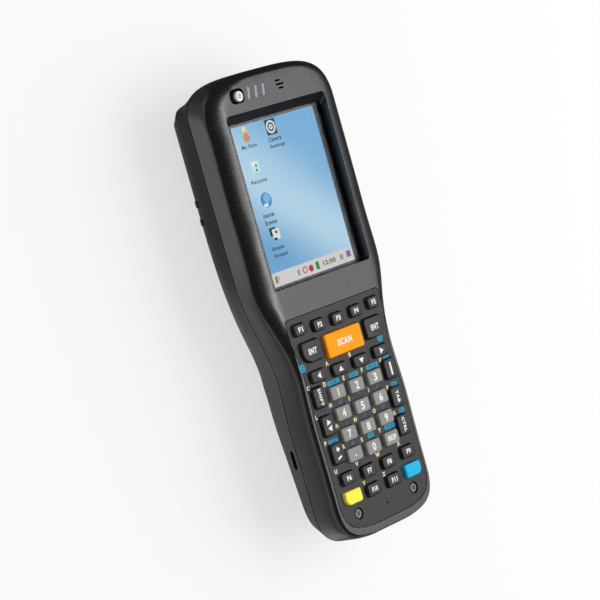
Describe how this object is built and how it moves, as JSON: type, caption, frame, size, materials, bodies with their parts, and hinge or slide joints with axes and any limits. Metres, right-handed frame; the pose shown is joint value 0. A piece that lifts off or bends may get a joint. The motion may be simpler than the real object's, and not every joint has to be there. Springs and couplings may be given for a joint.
{
  "type": "portable barcode data terminal",
  "caption": "Hand-held barcode data terminal: recessed portrait display in a wide head, narrow keypad grip, scan window in the head end, hinged battery cover in the back",
  "frame": {"origin": "bottom centre of the whole part, on the plane that its flat back rests on", "axes": "+X to the user's right, +Y towards the head end, +Z out of the display face"},
  "size_m": [0.0768, 0.1922, 0.036],
  "materials": {
    "shell_plastic": "fine spark-eroded texture, satin",
    "rear_plastic": "fine texture, matt black",
    "panel_plastic": "fine texture, matt dark grey",
    "key_black": "satin, white printed legends",
    "key_grey": "satin, white printed digits",
    "key_orange": "satin",
    "key_yellow": "satin",
    "key_blue": "satin",
    "button_white": "satin",
    "latch_plastic": "satin",
    "seal_rubber": "matt",
    "foam_gasket": "matt foam",
    "circuit_board": "solder mask",
    "screw_steel": "blackened steel",
    "display_glass": "clear, smooth",
    "display_panel": "lit colour display",
    "light_lens": "frosted light guide",
    "speaker_plastic": "matt",
    "engine_plastic": "matt",
    "scan_glass": "dark red filter window",
    "battery_plastic": "matt",
    "contact_gold": "gold plated"
  },
  "bodies": {
    "terminal": {"battery_pack": "battery_plastic", "display_gasket": "foam_gasket", "display_glass": "display_glass", "dock_contacts": "contact_gold", "earpiece_speaker": "speaker_plastic", "front_housing": "shell_plastic", "housing_screws": "screw_steel", "housing_seal": "seal_rubber", "keypad_board": "circuit_board", "keypad_mat": "seal_rubber", "keypad_panel": "panel_plastic", "lanyard_bar": "screw_steel", "lcd_module": "display_panel", "main_board": "circuit_board", "panel_screws": "screw_steel", "rear_housing": "rear_plastic", "scan_engine": "engine_plastic", "scan_window": "scan_glass", "status_lenses": "light_lens"},
    "key_f1_body": {"key_f1": "key_black"},
    "key_f2_body": {"key_f2": "key_black"},
    "key_f3_body": {"key_f3": "key_black"},
    "key_f4_body": {"key_f4": "key_black"},
    "key_f5_body": {"key_f5": "key_black"},
    "key_f6_body": {"key_f6": "key_black"},
    "key_f7_body": {"key_f7": "key_black"},
    "key_f8_body": {"key_f8": "key_black"},
    "key_f9_body": {"key_f9": "key_black"},
    "key_f10_body": {"key_f10": "key_black"},
    "key_f11_body": {"key_f11": "key_black"},
    "key_0_body": {"key_0": "key_grey"},
    "key_1_body": {"key_1": "key_grey"},
    "key_2_body": {"key_2": "key_grey"},
    "key_3_body": {"key_3": "key_grey"},
    "key_4_body": {"key_4": "key_grey"},
    "key_5_body": {"key_5": "key_grey"},
    "key_6_body": {"key_6": "key_grey"},
    "key_7_body": {"key_7": "key_grey"},
    "key_8_body": {"key_8": "key_grey"},
    "key_9_body": {"key_9": "key_grey"},
    "key_left_body": {"key_left": "key_black"},
    "key_up_body": {"key_up": "key_black"},
    "key_down_body": {"key_down": "key_black"},
    "key_right_body": {"key_right": "key_black"},
    "key_enter_left_body": {"key_enter_left": "key_black"},
    "key_side_left_upper_body": {"key_side_left_upper": "key_black"},
    "key_side_left_middle_body": {"key_side_left_middle": "key_black"},
    "key_side_left_lower_body": {"key_side_left_lower": "key_black"},
    "key_enter_right_body": {"key_enter_right": "key_black"},
    "key_side_right_upper_body": {"key_side_right_upper": "key_black"},
    "key_side_right_middle_body": {"key_side_right_middle": "key_black"},
    "key_side_right_lower_body": {"key_side_right_lower": "key_black"},
    "key_point_body": {"key_point": "key_grey"},
    "key_backspace_body": {"key_backspace": "key_grey"},
    "key_scan_body": {"key_scan": "key_orange"},
    "key_yellow_body": {"key_yellow": "key_yellow"},
    "key_blue_body": {"key_blue": "key_blue"},
    "power_button_body": {"power_button": "button_white"},
    "cover": {"battery_cover": "rear_plastic"},
    "latch": {"battery_latch": "latch_plastic"}
  },
  "joints": [
    {"name": "key_f1_press", "type": "slide", "parent": "terminal", "child": "key_f1_body", "axis": [0, 0, -1], "range_m": [0, 0.0008], "stiffness_N_per_m": 800},
    {"name": "key_f2_press", "type": "slide", "parent": "terminal", "child": "key_f2_body", "axis": [0, 0, -1], "range_m": [0, 0.0008], "stiffness_N_per_m": 800},
    {"name": "key_f3_press", "type": "slide", "parent": "terminal", "child": "key_f3_body", "axis": [0, 0, -1], "range_m": [0, 0.0008], "stiffness_N_per_m": 800},
    {"name": "key_f4_press", "type": "slide", "parent": "terminal", "child": "key_f4_body", "axis": [0, 0, -1], "range_m": [0, 0.0008], "stiffness_N_per_m": 800},
    {"name": "key_f5_press", "type": "slide", "parent": "terminal", "child": "key_f5_body", "axis": [0, 0, -1], "range_m": [0, 0.0008], "stiffness_N_per_m": 800},
    {"name": "key_f6_press", "type": "slide", "parent": "terminal", "child": "key_f6_body", "axis": [0, 0, -1], "range_m": [0, 0.0008], "stiffness_N_per_m": 800},
    {"name": "key_f7_press", "type": "slide", "parent": "terminal", "child": "key_f7_body", "axis": [0, 0, -1], "range_m": [0, 0.0008], "stiffness_N_per_m": 800},
    {"name": "key_f8_press", "type": "slide", "parent": "terminal", "child": "key_f8_body", "axis": [0, 0, -1], "range_m": [0, 0.0008], "stiffness_N_per_m": 800},
    {"name": "key_f9_press", "type": "slide", "parent": "terminal", "child": "key_f9_body", "axis": [0, 0, -1], "range_m": [0, 0.0008], "stiffness_N_per_m": 800},
    {"name": "key_f10_press", "type": "slide", "parent": "terminal", "child": "key_f10_body", "axis": [0, 0, -1], "range_m": [0, 0.0008], "stiffness_N_per_m": 800},
    {"name": "key_f11_press", "type": "slide", "parent": "terminal", "child": "key_f11_body", "axis": [0, 0, -1], "range_m": [0, 0.0008], "stiffness_N_per_m": 800},
    {"name": "key_0_press", "type": "slide", "parent": "terminal", "child": "key_0_body", "axis": [0, 0, -1], "range_m": [0, 0.0008], "stiffness_N_per_m": 800},
    {"name": "key_1_press", "type": "slide", "parent": "terminal", "child": "key_1_body", "axis": [0, 0, -1], "range_m": [0, 0.0008], "stiffness_N_per_m": 800},
    {"name": "key_2_press", "type": "slide", "parent": "terminal", "child": "key_2_body", "axis": [0, 0, -1], "range_m": [0, 0.0008], "stiffness_N_per_m": 800},
    {"name": "key_3_press", "type": "slide", "parent": "terminal", "child": "key_3_body", "axis": [0, 0, -1], "range_m": [0, 0.0008], "stiffness_N_per_m": 800},
    {"name": "key_4_press", "type": "slide", "parent": "terminal", "child": "key_4_body", "axis": [0, 0, -1], "range_m": [0, 0.0008], "stiffness_N_per_m": 800},
    {"name": "key_5_press", "type": "slide", "parent": "terminal", "child": "key_5_body", "axis": [0, 0, -1], "range_m": [0, 0.0008], "stiffness_N_per_m": 800},
    {"name": "key_6_press", "type": "slide", "parent": "terminal", "child": "key_6_body", "axis": [0, 0, -1], "range_m": [0, 0.0008], "stiffness_N_per_m": 800},
    {"name": "key_7_press", "type": "slide", "parent": "terminal", "child": "key_7_body", "axis": [0, 0, -1], "range_m": [0, 0.0008], "stiffness_N_per_m": 800},
    {"name": "key_8_press", "type": "slide", "parent": "terminal", "child": "key_8_body", "axis": [0, 0, -1], "range_m": [0, 0.0008], "stiffness_N_per_m": 800},
    {"name": "key_9_press", "type": "slide", "parent": "terminal", "child": "key_9_body", "axis": [0, 0, -1], "range_m": [0, 0.0008], "stiffness_N_per_m": 800},
    {"name": "key_left_press", "type": "slide", "parent": "terminal", "child": "key_left_body", "axis": [0, 0, -1], "range_m": [0, 0.0008], "stiffness_N_per_m": 800},
    {"name": "key_up_press", "type": "slide", "parent": "terminal", "child": "key_up_body", "axis": [0, 0, -1], "range_m": [0, 0.0008], "stiffness_N_per_m": 800},
    {"name": "key_down_press", "type": "slide", "parent": "terminal", "child": "key_down_body", "axis": [0, 0, -1], "range_m": [0, 0.0008], "stiffness_N_per_m": 800},
    {"name": "key_right_press", "type": "slide", "parent": "terminal", "child": "key_right_body", "axis": [0, 0, -1], "range_m": [0, 0.0008], "stiffness_N_per_m": 800},
    {"name": "key_enter_left_press", "type": "slide", "parent": "terminal", "child": "key_enter_left_body", "axis": [0, 0, -1], "range_m": [0, 0.0008], "stiffness_N_per_m": 800},
    {"name": "key_side_left_upper_press", "type": "slide", "parent": "terminal", "child": "key_side_left_upper_body", "axis": [0, 0, -1], "range_m": [0, 0.0008], "stiffness_N_per_m": 800},
    {"name": "key_side_left_middle_press", "type": "slide", "parent": "terminal", "child": "key_side_left_middle_body", "axis": [0, 0, -1], "range_m": [0, 0.0008], "stiffness_N_per_m": 800},
    {"name": "key_side_left_lower_press", "type": "slide", "parent": "terminal", "child": "key_side_left_lower_body", "axis": [0, 0, -1], "range_m": [0, 0.0008], "stiffness_N_per_m": 800},
    {"name": "key_enter_right_press", "type": "slide", "parent": "terminal", "child": "key_enter_right_body", "axis": [0, 0, -1], "range_m": [0, 0.0008], "stiffness_N_per_m": 800},
    {"name": "key_side_right_upper_press", "type": "slide", "parent": "terminal", "child": "key_side_right_upper_body", "axis": [0, 0, -1], "range_m": [0, 0.0008], "stiffness_N_per_m": 800},
    {"name": "key_side_right_middle_press", "type": "slide", "parent": "terminal", "child": "key_side_right_middle_body", "axis": [0, 0, -1], "range_m": [0, 0.0008], "stiffness_N_per_m": 800},
    {"name": "key_side_right_lower_press", "type": "slide", "parent": "terminal", "child": "key_side_right_lower_body", "axis": [0, 0, -1], "range_m": [0, 0.0008], "stiffness_N_per_m": 800},
    {"name": "key_point_press", "type": "slide", "parent": "terminal", "child": "key_point_body", "axis": [0, 0, -1], "range_m": [0, 0.0008], "stiffness_N_per_m": 800},
    {"name": "key_backspace_press", "type": "slide", "parent": "terminal", "child": "key_backspace_body", "axis": [0, 0, -1], "range_m": [0, 0.0008], "stiffness_N_per_m": 800},
    {"name": "key_scan_press", "type": "slide", "parent": "terminal", "child": "key_scan_body", "axis": [0, 0, -1], "range_m": [0, 0.0008], "stiffness_N_per_m": 800},
    {"name": "key_yellow_press", "type": "slide", "parent": "terminal", "child": "key_yellow_body", "axis": [0, 0, -1], "range_m": [0, 0.0008], "stiffness_N_per_m": 800},
    {"name": "key_blue_press", "type": "slide", "parent": "terminal", "child": "key_blue_body", "axis": [0, 0, -1], "range_m": [0, 0.0008], "stiffness_N_per_m": 800},
    {"name": "power_button_press", "type": "slide", "parent": "terminal", "child": "power_button_body", "axis": [0, 0, -1], "range_m": [0, 0.0005], "stiffness_N_per_m": 800},
    {"name": "battery_cover_hinge", "type": "hinge", "parent": "terminal", "child": "cover", "pos_m": [0, 0.05935, 0.0023], "axis": [1, 0, 0], "range_deg": [0, 85]},
    {"name": "battery_latch_slide", "type": "slide", "parent": "cover", "child": "latch", "axis": [0, -1, 0], "range_m": [0, 0.0018]}
  ]
}
